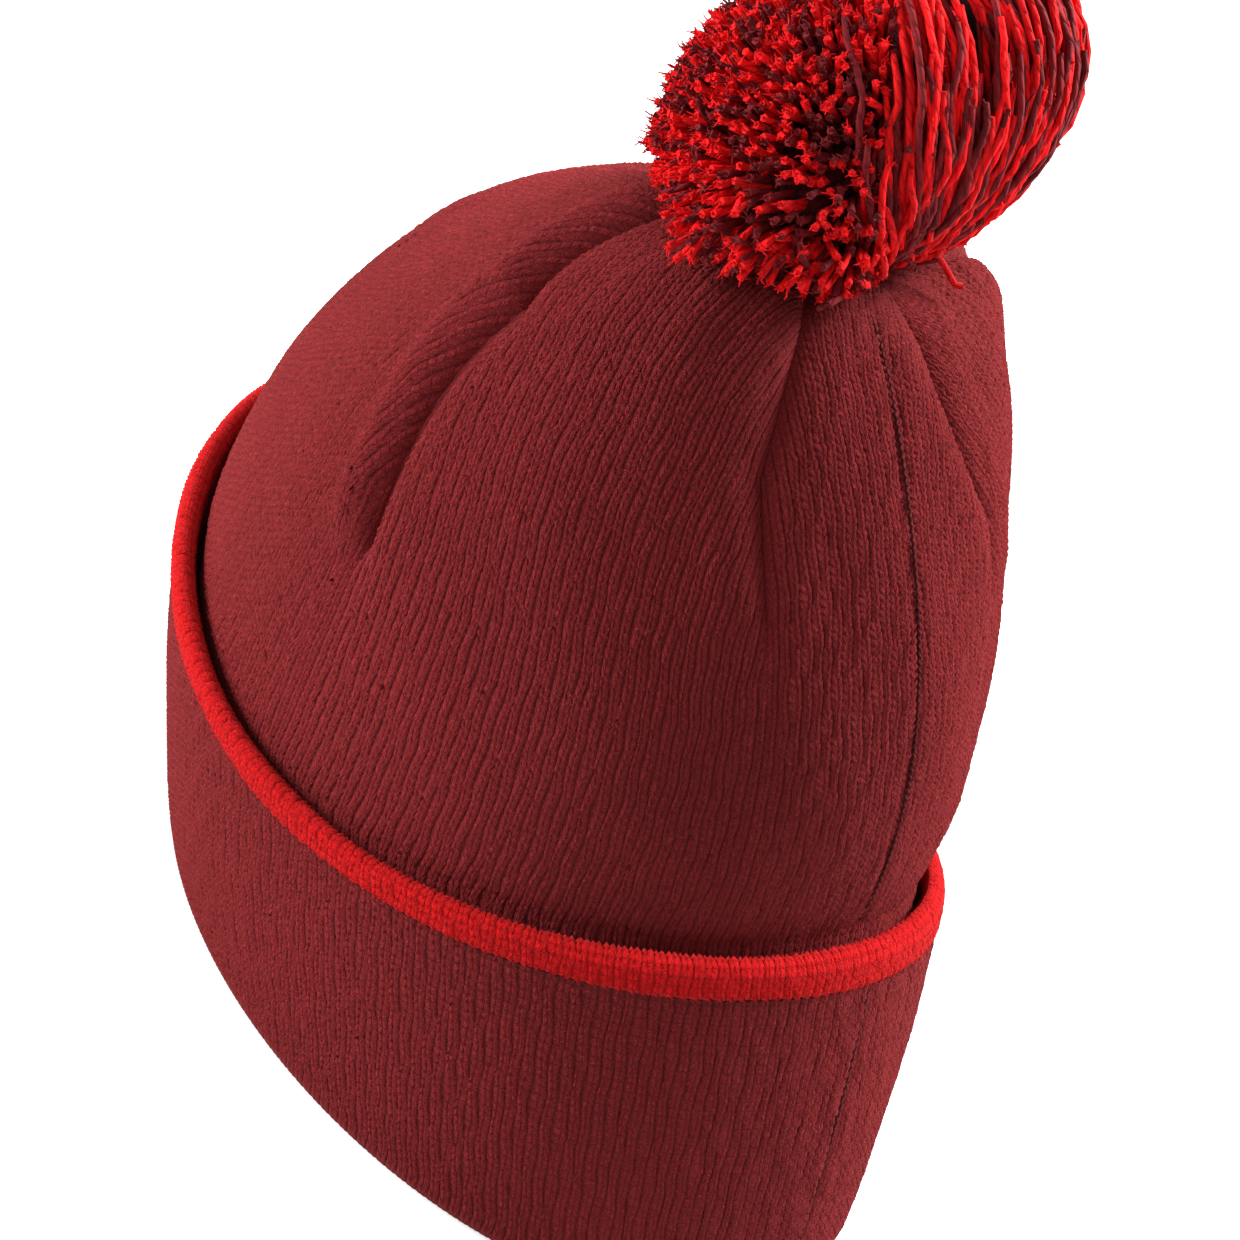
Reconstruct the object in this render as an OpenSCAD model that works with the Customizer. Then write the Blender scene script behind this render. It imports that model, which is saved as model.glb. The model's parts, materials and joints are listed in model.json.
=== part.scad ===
// Cuffed double-knit beanie with a yarn pom pom on top.
// Millimetres, +Z up, front towards -Y. The beanie stands on the fold of its brim at z = 0.
// Angles t run round the hat from the back seam (0) to the wearer's left side (90) and front (180).

/* [Cuff] */
// Half width of the brim at its fold, left to right
rim_x = 80; // [68:1:96]
// Half length of the brim at its fold, front to back
rim_y = 110; // [91:1:132]
// Half width of the turned-up cuff at its free edge
edge_x = 89; // [74:1:107]
// Half length of the turned-up cuff at its free edge
edge_y = 110; // [91:1:132]
// Height of the cuff, taken halfway between the front and the sides
cuff_h = 78; // [52:1:96]
// How far the free edge rises at front and back and dips at the sides
edge_wave = 12; // [0:0.5:15]
// How far the cuff leans forward from its fold to its free edge
cuff_lean = 26; // [0:1:31]
// How far the middle of the cuff swells outwards
cuff_swell = 2; // [0:0.25:4]

/* [Crown] */
// Height of the crown above the free edge of the cuff
crown_h = 139; // [110:1:165]
// How far the top of the crown sits behind the middle of the cuff's free edge
apex_back = 22; // [5:0.5:26]
// How late the crown bends back, where a larger value bends it only near its top
apex_bend = 5; // [1:0.5:8]
// How slowly the crown rises from the level of the cuff's free edge
crown_rise = 1.05; // [0.9:0.05:1.2]
// How steeply the sides round over, where a larger value is more pointed
side_taper = 0.5; // [0.35:0.05:1]
// How steeply the back rounds over
back_taper = 1.5; // [0.9:0.05:1.8]
// How steeply the front rounds over
front_taper = 1.75; // [0.9:0.05:2]
// Depth of the hollow that the gathering pulls into the top
dimple = 8; // [0:0.5:10]
// Radius of that hollow
dimple_r = 24; // [18:1:30]
// Radius of the gathered hole in the top
gather_r = 5; // [4.5:0.25:7]
// How far the knit spirals round between the cuff and the top, in degrees
spiral = 18; // [0:1:25]

/* [Knit] */
// Thickness of one layer of knit
ply = 1.8; // [1.2:0.1:2.2]
// Play between two pieces that lie on each other
rest_gap = 0.3; // [0.25:0.05:0.5]
// Gap inside the fold of the brim
fold_gap = 0.6; // [0.4:0.1:1.2]
// Gap between the crown and the free edge of the cuff
edge_gap = 3.2; // [2:0.2:6]
// Height of the contrast tipping along the cuff's free edge
tipping_h = 6.5; // [5.5:0.5:12]
// Thickness of the rolled tipping
tipping_w = 5.2; // [4.2:0.1:6.5]

/* [Seams and thread] */
// Width of the linked seam ridges on the inside
ridge_w = 3; // [2:0.25:4]
// Height of the linked seam ridges
ridge_h = 2.2; // [1.2:0.1:3]
// Width of the seam thread that shows on the outside
thread_w = 1.2; // [0.8:0.1:2]
// Thickness of the seam thread that shows on the outside
thread_h = 0.6; // [0.4:0.1:1]
// Diameter of the thread that gathers the top
gather_thread_d = 1.4; // [1:0.1:1.6]
// Diameter of the cord that holds the pom pom
cord_d = 3; // [2:0.1:3.2]
// Angle of a dart from the back seam, and half the angle between two darts
dart_turn = 24; // [20:1:30]

/* [Pom pom] */
// Radius of the pom pom
pom_r = 39; // [32:1:47]
// Height of the pom pom from its tie to its top
pom_h = 57; // [47:1:69]
// Height above its tie where the pom pom is widest
pom_waist = 24; // [18:1:30]
// How far the pom pom flops forward on its tie, in degrees
pom_lean = 22; // [0:1:26]
// How far the pom pom flops to the wearer's left, in degrees
pom_side = 10; // [0:1:16]
// Radius of the neck of yarn inside the binding
neck_r = 7; // [5.5:0.25:8.5]
// Diameter of the binding cord
binding_d = 2.2; // [1.6:0.1:2.6]
// Diameter of the knot that the pom pom tilts on
knot_d = 7; // [6:0.25:8]

/* [Label and motif] */
// Width of the sewn-in label
label_w = 28; // [18:1:40]
// Hanging length of the sewn-in label
label_l = 38; // [20:1:45]
// Thickness of the folded label
label_t = 0.6; // [0.4:0.1:1]
// Width of the embroidered motif on the front of the cuff
motif_w = 46; // [30:1:56]
// Height of the embroidered motif
motif_h = 36; // [24:1:40]
// Thickness of the embroidery
motif_t = 0.9; // [0.6:0.1:1.4]

/* [Hidden] */
$fn = 48;

// Flat facets round the hat, and steps up the cuff, round the fold and over the crown
facets = 48;
cuff_steps = 4;
fold_steps = 5;
crown_steps = 10;
// The two middle steps of the fold reach its full depth, so that the brim stands on a flat
fold_flat = sin(180 * floor(fold_steps / 2) / fold_steps);

// A layer lies at a depth below the outside of the cuff. The fold turns it round its own middle.
fold_r = 2 * ply + rest_gap + fold_gap / 2;
crown_depth = 2 * ply + rest_gap + edge_gap;
crown_x = edge_x - crown_depth;
crown_y = edge_y - crown_depth;
lining_depth = 2 * ply + rest_gap;
tipping_mid = ply + rest_gap / 2;
tipping_proud = tipping_w / 2 - tipping_mid;
cuff_end = 1 - (tipping_h + rest_gap) / cuff_h;

// The hat is centred on its own length, from the fold at the back to the tipping at the front
roll_s = 1 - tipping_w / 2 / cuff_h;
rim_yc = (blend(rim_y, edge_y, roll_s) + swell(roll_s) + tipping_proud + cuff_lean * roll_s - rim_y) / 2;
dome_yc = rim_yc - cuff_lean;
apex_y = dome_yc + apex_back;
apex_z = cuff_h + crown_h - dimple;
tie_z = apex_z + rest_gap + knot_d / 2;
neck_foot = knot_d / 2 + rest_gap;
// Yarn lies closer than knit does, and the strands leave a narrow core free
slack = 0.1;
core_r = 1.5;

// Steps up the crown where a dart starts and where every seam stops short of the hole
dart_from = 3;
seam_to = crown_steps - 3;

maroon = [0.45, 0.13, 0.15];
dark_maroon = [0.3, 0.08, 0.09];
red = [0.78, 0.08, 0.1];

function blend(a, b, s) = a + (b - a) * s;
function reversed(list) = [for (i = [len(list) - 1:-1:0]) list[i]];
function swell(s) = 4 * cuff_swell * s * (1 - s);
function edge_height(t) = cuff_h + edge_wave * cos(2 * t);

// A point of the cuff or of the wall behind it, s of the way from the fold to the free edge
function wall_point(t, s, depth, drop = 0) = [
    sin(t) * (blend(rim_x, edge_x, s) + swell(s) - depth),
    rim_yc - cuff_lean * s + cos(t) * (blend(rim_y, edge_y, s) + swell(s) - depth),
    blend(fold_r, edge_height(t), s) - drop];

// Depth of the wall behind the cuff, for a face that lies under a face of depth c on the cuff
function wall_depth(c, s) = 2 * fold_r - c + (edge_gap - fold_gap) * s;

// A point of the crown at the rising angle rise, 0 at the cuff's edge and 90 at the hole
function crown_point(t, rise, depth) =
    let (taper = cos(t) > 0 ? back_taper : front_taper,
         x = sin(t) * (gather_r + (crown_x - gather_r) * pow(cos(rise), side_taper)),
         y = cos(t) * (gather_r + (crown_y - gather_r) * pow(cos(rise), taper)),
         inset = depth * cos(rise),
         hollow = dimple * exp(-pow(max(0, norm([x, y]) - gather_r) / dimple_r, 2)))
    [
        x - inset * sin(t),
        y - inset * cos(t) + dome_yc + apex_back * pow(sin(rise), apex_bend),
        cuff_h + edge_wave * cos(2 * t) * cos(rise) + (crown_h - depth) * pow(sin(rise), crown_rise) - hollow
    ];

function ring(point) = [for (i = [0:facets - 1]) point(360 * i / facets)];
// The steps up the crown get shorter towards the hole
function rise_at(step) = 90 * (1 - pow(1 - step / crown_steps, 2));
// The knit, its seams and its darts all turn with the spiral
function turned(t, rise) = t + spiral * pow(sin(rise), 2);

// One face of a layer of knit in three stretches, each from its given step on:
// from the cuff's end down and round the fold, up the wall, and up the crown to the hole
function cuff_face(c) = concat(
    [for (i = [cuff_steps:-1:0]) let (s = cuff_end * i / cuff_steps)
        ring(function (t) wall_point(t, s, c))],
    [for (i = [1:fold_steps - 1]) let (a = 180 * i / fold_steps, r = fold_r - c)
        ring(function (t) wall_point(t, 0, fold_r - r * cos(a), r * sin(a) / fold_flat))],
    [ring(function (t) wall_point(t, 0, wall_depth(c, 0)))]);
function wall_face(c, first = 0) = [for (i = [first:cuff_steps]) let (s = i / cuff_steps)
    ring(function (t) wall_point(t, s, wall_depth(c, s)))];
function crown_face(c, first = 0) = [for (i = [first:crown_steps]) let (rise = rise_at(i))
    ring(function (t) crown_point(t, rise, lining_depth - c))];
function layer_face(c) = concat(cuff_face(c), wall_face(c, 1), crown_face(c, 1));

// A closed skin over rings of points, joined from each ring to the next and round to the first.
// Where the rings run back under the first half, the facets are split along the same diagonals.
module closed_skin(rings) {
    count = len(rings);
    n = len(rings[0]);
    polyhedron(
        points = [for (r = rings) each r],
        faces = [for (j = [0:count - 1]) for (i = [0:n - 1])
            let (a = j * n + i, b = j * n + (i + 1) % n,
                 j2 = (j + 1) % count, c = j2 * n + (i + 1) % n, d = j2 * n + i)
            each (j < count / 2 ? [[a, b, c], [a, c, d]] : [[a, b, d], [b, c, d]])]);
}

// A solid lofted through sections of points, with a flat cap at each end
module loft(sections) {
    count = len(sections);
    n = len(sections[0]);
    polyhedron(
        points = [for (s = sections) each s],
        faces = concat(
            [[for (i = [0:n - 1]) i]],
            [for (j = [0:count - 2]) for (i = [0:n - 1]) let (i2 = (i + 1) % n)
                each [[j * n + i, (j + 1) * n + i, (j + 1) * n + i2],
                      [j * n + i, (j + 1) * n + i2, j * n + i2]]],
            [[for (i = [n - 1:-1:0]) (count - 1) * n + i]]));
}

// Four corners of a strip of width w round the line at angle t, between two depths
function crown_strip(t, rise, w, outer, inner) =
    let (half = w / norm(crown_point(t + 1, rise, inner) - crown_point(t - 1, rise, inner)))
    [crown_point(t - half, rise, outer), crown_point(t + half, rise, outer),
     crown_point(t + half, rise, inner), crown_point(t - half, rise, inner)];
function wall_strip(s, w, outer, inner) =
    let (half = asin(w / 2 / edge_x))
    [wall_point(-half, s, outer), wall_point(half, s, outer),
     wall_point(half, s, inner), wall_point(-half, s, inner)];

// A seam ridge under the lining, along one line of the crown
function ridge_over_crown(t, first) = [for (i = [first:seam_to])
    crown_strip(turned(t, rise_at(i)), rise_at(i), ridge_w,
        lining_depth + rest_gap, lining_depth + rest_gap + ridge_h)];

// The layer that shows on the crown, turned back on itself inside the cuff
module crown_knit() {
    color(maroon)
        closed_skin(concat(layer_face(ply + rest_gap), reversed(layer_face(lining_depth))));
}

// The layer that lines the crown, down to the level of the cuff's free edge
module crown_lining() {
    color(maroon)
        closed_skin(concat(crown_face(0), reversed(crown_face(ply))));
}

// The same layer where it runs on down behind the cuff
module wall_lining() {
    color(maroon)
        closed_skin(concat(wall_face(0), reversed(wall_face(ply))));
}

// The same layer where it turns round the fold and shows as the outside of the cuff
module cuff_knit() {
    color(maroon)
        closed_skin(concat(cuff_face(0), reversed(cuff_face(ply))));
}

// The rolled red edge that both layers are linked to, along the top of the cuff
module edge_tipping() {
    half = tipping_w / 2;
    function section_ring(depth, up) = ring(function (t) wall_point(t, 1 + up / cuff_h, depth));
    color(red)
        closed_skin(concat(
            [section_ring(tipping_mid + half, -tipping_h)],
            [for (a = [180:-30:0]) section_ring(tipping_mid - half * cos(a), half * sin(a) - half)],
            [section_ring(tipping_mid - half, -tipping_h)]));
}

// The chain of thread that links the tipping to the cuff, on the outside
module linking_thread() {
    top = -tipping_h - rest_gap;
    function section_ring(depth, up) = ring(function (t) wall_point(t, 1 + up / cuff_h, depth));
    color(dark_maroon)
        closed_skin([
            section_ring(-rest_gap, top - thread_w),
            section_ring(-rest_gap, top),
            section_ring(-rest_gap - thread_h, top),
            section_ring(-rest_gap - thread_h, top - thread_w)]);
}

// The ridge of the back seam, inside from just above the fold to just short of the hole
module back_seam_ridge() {
    color(dark_maroon)
        loft(concat(
            [for (i = [1:cuff_steps]) let (s = i / cuff_steps, d = wall_depth(0, s) + rest_gap)
                wall_strip(s, ridge_w, d, d + ridge_h)],
            ridge_over_crown(0, 1)));
}

// The back seam's thread on the outside of the crown
module crown_seam_thread() {
    color(dark_maroon)
        loft([for (i = [1:seam_to])
            crown_strip(turned(0, rise_at(i)), rise_at(i), thread_w, -rest_gap - thread_h, -rest_gap)]);
}

// The back seam's thread on the outside of the cuff
module cuff_seam_thread() {
    color(dark_maroon)
        loft([for (i = [1:cuff_steps]) let (s = (cuff_end - 2 * thread_w / cuff_h) * i / cuff_steps)
            wall_strip(s, thread_w, -rest_gap - thread_h, -rest_gap)]);
}

// The linked ridge of one dart, inside the crown
module dart_seam(t) {
    color(dark_maroon)
        loft(ridge_over_crown(t, dart_from));
}

// The thread that draws the top of the crown together, in the gathered hole
module gather_thread() {
    color(dark_maroon)
        translate([0, apex_y, apex_z - ply - rest_gap / 2])
            rotate_extrude()
                translate([gather_r - rest_gap - gather_thread_d / 2, 0])
                    circle(d = gather_thread_d);
}

// The doubled tail of cord that runs down through the hole
module anchor_cord() {
    color(dark_maroon)
        translate([0, apex_y, apex_z - lining_depth - rest_gap])
            cylinder(d = cord_d, h = lining_depth + rest_gap);
}

// The knot inside the crown that the cord is tied off with
module anchor_knot() {
    knot_r = gather_r + 1;
    color(dark_maroon)
        translate([0, apex_y, apex_z - lining_depth - rest_gap])
            rotate_extrude()
                polygon([[0, 0], [knot_r, 0], [knot_r, -3], [knot_r - 2, -5.4], [0, -6]]);
}

// Places what stands on the tie, and slants it forward and sideways with the pom pom
module on_tie() {
    translate([0, apex_y, tie_z])
        multmatrix([[1, 0, tan(pom_side), 0], [0, 1, -tan(pom_lean), 0], [0, 0, 1, 0]])
            children();
}

// The knot on top that the pom pom nods and sways on
module tie_knot() {
    color(dark_maroon)
        translate([0, apex_y, tie_z])
            sphere(d = knot_d);
}

// Two turns of cord round the neck of the pom pom
module pompom_binding() {
    color(dark_maroon)
        on_tie()
            for (turn = [0:1])
                translate([0, 0, neck_foot + (turn + 0.5) * (binding_d + slack)])
                    rotate_extrude()
                        translate([neck_r + slack + binding_d / 2, 0])
                            circle(d = binding_d);
}

// Half outline of the pom pom, no nearer its axis than the core. From its neck it hangs over the
// binding, spreads in a flat curve over the crown, and closes in a round one on top.
function pom_outline(core) =
    let (neck_top = neck_foot + 2 * (binding_d + slack) + slack,
         collar_r = neck_r + binding_d + 3 * slack,
         outline = concat(
             [[core, neck_foot], [neck_r, neck_foot], [neck_r, neck_top], [collar_r, neck_top], [collar_r, slack]],
             [for (a = [-60:15:0]) [pom_r * pow(cos(a), 2 / 3), pom_waist * (1 - pow(sin(-a), 2 / 3))]],
             [for (a = [15:15:90]) [pom_r * cos(a), blend(pom_waist, pom_h, sin(a))]]))
    [for (p = outline) [max(p[0], core), p[1]]];

// Every other wedge of the pom pom, from the given turn round
module yarn_wedges(first, core) {
    for (turn = [first:60:359])
        rotate([0, 0, turn])
            rotate_extrude(angle = 30)
                polygon(pom_outline(core));
}

// The bright yarn of the pom pom, as six of its twelve wedges
module pompom_red_yarn() {
    color(red)
        on_tie()
            yarn_wedges(0, core_r);
}

// The dark yarn of the pom pom, as the other six wedges
module pompom_maroon_yarn() {
    color(maroon)
        on_tie()
            yarn_wedges(30, core_r);
}

// A plain oval of satin stitch on the front of the cuff
module front_motif() {
    middle = 0.47;
    rows = 8;
    span = motif_h / cuff_h;
    widest = asin(motif_w / 2 / edge_x);
    color(red)
        loft([for (j = [0:rows])
            let (u = -0.94 + 1.88 * j / rows, s = middle + span * u / 2, half = widest * sqrt(1 - u * u))
            concat(
                [for (k = [-3:3]) wall_point(180 - half * k / 3, s, -rest_gap)],
                [for (k = [3:-1:-3]) wall_point(180 - half * k / 3, s, -rest_gap - motif_t)])]);
}

// Where the label hangs: a line across the back seam ridge, three quarters of the way up the cuff
label_s = 0.75;
stitch_t = 1;
stitch_depth = wall_depth(0, label_s) + 2 * rest_gap + ridge_h;
label_hang = wall_point(0, label_s, stitch_depth + stitch_t + rest_gap + label_t / 2);

// The row of stitches that holds the label's top edge to the seam ridge
module label_stitching() {
    color(dark_maroon)
        translate(label_hang + [0, rest_gap + label_t / 2 + stitch_t / 2, 0])
            cube([label_w - 4, stitch_t, 1.4], center = true);
}

// The folded label, hanging free from its top edge
module care_label() {
    color("ivory")
        translate(label_hang + [-label_w / 2, -label_t / 2, -label_l])
            cube([label_w, label_t, label_l]);
}

crown_knit();
crown_lining();
wall_lining();
cuff_knit();
edge_tipping();
linking_thread();
back_seam_ridge();
crown_seam_thread();
cuff_seam_thread();
dart_seam(dart_turn);  // dart_seam_back_left
dart_seam(90);  // dart_seam_side_left
dart_seam(180 - dart_turn);  // dart_seam_front_left
dart_seam(180 + dart_turn);  // dart_seam_front_right
dart_seam(270);  // dart_seam_side_right
dart_seam(360 - dart_turn);  // dart_seam_back_right
gather_thread();
anchor_cord();
anchor_knot();
tie_knot();
pompom_binding();
pompom_red_yarn();
pompom_maroon_yarn();
front_motif();
label_stitching();
care_label();
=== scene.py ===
import json
import math

import bmesh
import bpy
import numpy as np
from mathutils import Matrix, Vector


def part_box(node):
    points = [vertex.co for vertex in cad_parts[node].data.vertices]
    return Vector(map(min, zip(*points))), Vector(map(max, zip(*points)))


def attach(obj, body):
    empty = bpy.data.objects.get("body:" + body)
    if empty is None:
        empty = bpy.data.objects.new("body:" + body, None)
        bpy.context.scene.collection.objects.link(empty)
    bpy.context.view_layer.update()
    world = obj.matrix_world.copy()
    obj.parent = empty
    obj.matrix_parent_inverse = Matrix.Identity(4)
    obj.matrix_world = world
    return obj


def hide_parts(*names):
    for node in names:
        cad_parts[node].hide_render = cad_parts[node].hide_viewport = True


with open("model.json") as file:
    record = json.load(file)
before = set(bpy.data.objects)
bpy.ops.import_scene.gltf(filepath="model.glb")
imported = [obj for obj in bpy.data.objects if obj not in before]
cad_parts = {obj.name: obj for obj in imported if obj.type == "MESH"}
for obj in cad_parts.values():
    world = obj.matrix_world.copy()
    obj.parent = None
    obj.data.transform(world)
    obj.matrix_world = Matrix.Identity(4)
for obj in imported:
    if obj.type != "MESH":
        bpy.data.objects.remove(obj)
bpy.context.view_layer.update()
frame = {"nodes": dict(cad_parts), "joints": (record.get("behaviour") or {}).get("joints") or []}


# ---- Crown ----
# The crown is the outer layer of a long tube of plain knit in maroon acrylic yarn. Six darts and
# a back seam shape it, and a thread draws the top together. Its stitches are made one by one, as
# two slanting legs each, and the columns of stitches run out at the darts as the panels narrow.
MM = 0.001
RIM_HALF = (80.0, 110.0)
EDGE_HALF = (89.0, 110.0)
CUFF_HEIGHT, EDGE_WAVE, CUFF_LEAN, CUFF_SWELL = 78.0, 12.0, 26.0, 2.0
FOLD_RADIUS = 4.2
PLY, LAYER_GAP, EDGE_GAP, WALL_LEAN = 1.8, 0.3, 3.2, 2.6
BOTH_LAYERS = 2 * PLY + LAYER_GAP
rim_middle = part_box("cuff_knit")[1][1] / MM - RIM_HALF[1]

CROWN_HALF = (EDGE_HALF[0] - BOTH_LAYERS - EDGE_GAP, EDGE_HALF[1] - BOTH_LAYERS - EDGE_GAP)
CROWN_HEIGHT, CROWN_RISE = 139.0, 1.05
APEX_BACK, APEX_BEND = 22.0, 5.0
SIDE_TAPER, BACK_TAPER, FRONT_TAPER = 0.5, 1.5, 1.75
GATHER_RADIUS, DIMPLE, DIMPLE_RADIUS = 5.0, 8.0, 24.0
SPIRAL = 18.0


def wall_point(turn, up, depth, drop=0.0):
    """A point of the cuff or the wall behind it, up of the way from the fold to the free edge."""
    swell = 4 * CUFF_SWELL * up * (1 - up)
    angle = np.radians(turn)
    half_x = RIM_HALF[0] + (EDGE_HALF[0] - RIM_HALF[0]) * up + swell - depth
    half_y = RIM_HALF[1] + (EDGE_HALF[1] - RIM_HALF[1]) * up + swell - depth
    edge = CUFF_HEIGHT + EDGE_WAVE * np.cos(2 * angle)
    return np.stack([
        np.sin(angle) * half_x,
        rim_middle - CUFF_LEAN * up + np.cos(angle) * half_y,
        FOLD_RADIUS + (edge - FOLD_RADIUS) * up - drop], -1)


def crown_point(turn, rise, depth):
    """A point of the crown, at the rising angle rise, 0 at the cuff's edge and 90 at the hole."""
    angle, lift = np.radians(turn), np.radians(rise)
    taper = np.where(np.cos(angle) > 0, BACK_TAPER, FRONT_TAPER)
    cosine, sine = np.maximum(np.cos(lift), 0), np.sin(lift)
    x = np.sin(angle) * (GATHER_RADIUS + (CROWN_HALF[0] - GATHER_RADIUS) * cosine ** SIDE_TAPER)
    y = np.cos(angle) * (GATHER_RADIUS + (CROWN_HALF[1] - GATHER_RADIUS) * cosine ** taper)
    hollow = DIMPLE * np.exp(-(np.maximum(0, np.hypot(x, y) - GATHER_RADIUS) / DIMPLE_RADIUS) ** 2)
    return np.stack([
        x - depth * cosine * np.sin(angle),
        y - depth * cosine * np.cos(angle) + rim_middle - CUFF_LEAN + APEX_BACK * sine ** APEX_BEND,
        CUFF_HEIGHT + EDGE_WAVE * np.cos(2 * angle) * cosine
        + (CROWN_HEIGHT - depth) * sine ** CROWN_RISE - hollow], -1)


def blended(table, x, y):
    """Reads a table at x and y, from 0 to 1 along its rows and columns, between its entries."""
    x = np.clip(x, 0, 1) * (table.shape[0] - 1)
    y = np.clip(y, 0, 1) * (table.shape[1] - 1)
    i = np.minimum(x.astype(int), table.shape[0] - 2)
    j = np.minimum(y.astype(int), table.shape[1] - 2)
    fx, fy = x - i, y - j
    if table.ndim == 3:
        fx, fy = fx[..., None], fy[..., None]
    return ((table[i, j] * (1 - fx) + table[i + 1, j] * fx) * (1 - fy)
            + (table[i, j + 1] * (1 - fx) + table[i + 1, j + 1] * fx) * fy)


def smooth(x, low, high):
    """A soft step from 0 to 1 between low and high."""
    x = np.clip((x - low) / (high - low), 0, 1)
    return x * x * (3 - 2 * x)


# Steps of the tables: degrees round the hat, and levels from the fold (-1) past the cuff's edge
# (0) to the gathered hole (1).
turns = np.arange(0, 361)
levels = np.linspace(-1, 1, 201)
above = levels[levels >= 0]
fine = 90 * np.sin(np.linspace(0, math.pi / 2, 240))
rises = np.zeros((len(turns), len(above)))
for i, turn in enumerate(turns):
    line = crown_point(turn + SPIRAL * np.sin(np.radians(fine)) ** 2, fine, 0.0)
    run = np.concatenate([[0], np.cumsum(np.linalg.norm(np.diff(line, axis=0), axis=1))])
    rises[i] = np.interp(above * run[-1], run, fine)


def knit_point(turn, level, depth):
    """A point of the tube at a depth below the outer face of the crown's outer layer."""
    rise = blended(rises, (turn % 360) / 360, level)
    on_crown = crown_point(turn + SPIRAL * np.sin(np.radians(rise)) ** 2, rise, depth)
    up = 1 + np.minimum(level, 0)
    on_wall = wall_point(turn, up, 2 * FOLD_RADIUS - BOTH_LAYERS + depth + WALL_LEAN * up)
    return np.where((level < 0)[..., None], on_wall, on_crown)


mesh_turn, mesh_level = np.meshgrid(turns.astype(float), levels, indexing="ij")
surface = knit_point(mesh_turn, mesh_level, 0.0)
ringwise = np.roll(surface[:-1], -1, 0) - np.roll(surface[:-1], 1, 0)
ringwise = np.concatenate([ringwise, ringwise[:1]])
upward = np.gradient(surface, axis=1)
normals = np.cross(upward, ringwise)
normals /= np.linalg.norm(normals, axis=-1, keepdims=True)
run_round = np.concatenate(
    [np.zeros((1, len(levels))),
     np.cumsum(np.linalg.norm(np.diff(surface, axis=0), axis=-1), axis=0)])

# The darts, as degrees from the back seam, with how deep each pulls in, how far the knit puffs up
# before and after it, the level where it starts, and how far it has swung halfway up and on top.
DARTS = (
    (26, 2.6, 0.6, 1.2, 0.42, 1, -6), (90, 6.0, 1.0, 4.2, 0.27, 5, 34),
    (156, 2.2, 0.8, 0.8, 0.42, 0, 6), (204, 2.2, 0.8, 0.8, 0.42, 0, -6),
    (270, 3.2, 2.0, 1.2, 0.32, -3, -12), (335, 2.4, 0.9, 0.6, 0.50, 0, 11))
dart_turns = np.array([
    dart[0] + np.interp(levels, (0.3, 0.6, 0.8), (0, dart[5], dart[6])) for dart in DARTS])
CROWN_WALE, CROWN_COURSE = 2.6, 1.9
CROWN_RUN, WALL_RUN = 175.0, 88.0
MOST_WALES, MOST_COURSES = 400, 160
rng = np.random.default_rng(11)
wale_phase = rng.uniform(0, 2 * math.pi, (3, MOST_WALES))
stitch_play = rng.normal(0, 0.07, (MOST_WALES, MOST_COURSES))
stitch_shift = rng.normal(0, 0.03, (MOST_WALES, MOST_COURSES))


def panel_columns(spacing, per_wale):
    """For every panel, from dart to dart: its number, its wales, their places and the first one."""
    columns = []
    middle = int(np.argmin(np.abs(levels)))
    first = 0
    for k in range(len(DARTS)):
        start, end = DARTS[k][0], DARTS[(k + 1) % len(DARTS)][0]
        length = run_round[end, middle] - run_round[start, middle]
        length += run_round[-1, middle] if end < start else 0
        wales = int(round(length / spacing))
        columns.append((k, wales, np.arange(wales * per_wale) / per_wale, first))
        first += wales
    return columns


def dart_shape(k, away, level, after):
    """How far the dart k lifts or sinks the knit, at a distance from it in mm."""
    _, deep, puff_before, puff_after, start = DARTS[k][:5]
    grown = smooth(level, start - 0.03, start + 0.05)
    groove_shade_and_relief = -deep * np.exp(-(away / 2.0) ** 1.2)
    roll = (puff_after if after else puff_before) * np.exp(-((away - 8.5) / 5.0) ** 2)
    crease = -0.9 * np.exp(-(away / 4.5) ** 2) * smooth(level, start - 0.25, start) * (1 - grown)
    end = 1 - smooth(level, 0.86, 0.97)
    return ((groove_shade_and_relief + roll) * grown + crease) * end


def seam_shape(away):
    """How far the back seam sinks or lifts the knit, at a distance from it in mm."""
    return -0.5 * np.exp(-(away / 1.2) ** 2) + 0.25 * np.exp(-((away - 3.5) / 1.8) ** 2)


def panel_map(k):
    """For the panel after the dart k: its width in mm at each level, and the turns across it."""
    following = (k + 1) % len(DARTS)
    past_back = 360 if DARTS[following][0] < DARTS[k][0] else 0
    angle = np.concatenate([turns[:-1], turns + 360])
    widths = np.zeros(len(levels))
    lookup = np.zeros((61, len(levels)))
    for j in range(len(levels)):
        run = np.concatenate([run_round[:-1, j], run_round[:, j] + run_round[-1, j]])
        ends = (dart_turns[k, j], dart_turns[following, j] + past_back)
        first_run, last_run = np.interp(ends, angle, run)
        widths[j] = last_run - first_run
        lookup[:, j] = np.interp(first_run + np.linspace(0, 1, 61) * widths[j], run, angle)
    return widths, lookup


def shaped(height, k, across, width, turn, level):
    """The height of the panel after the dart k, with its darts, soft ripples and the seam added."""
    height = height + dart_shape(k, across + width / 2, level, True)
    height = height + dart_shape((k + 1) % len(DARTS), width / 2 - across, level, False)
    ripple = (np.sin(turn * 0.105 + 9 * level) * np.sin(5.3 * level + 0.031 * turn)
              + 0.5 * np.sin(turn * 0.21 - 14 * level + 1.3))
    height = height + 0.7 * ripple * smooth(level, 0.02, 0.2) * (1 - smooth(level, 0.85, 1))
    if k == len(DARTS) - 1:
        away = np.abs((turn % 360 + 180) % 360 - 180)
        sunk = seam_shape(away * np.interp(level, levels, run_round[-1]) / 360)
        height = height + sunk * smooth(level, 0.0, 0.05) * (1 - smooth(level, 0.9, 0.98))
    return height


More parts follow.
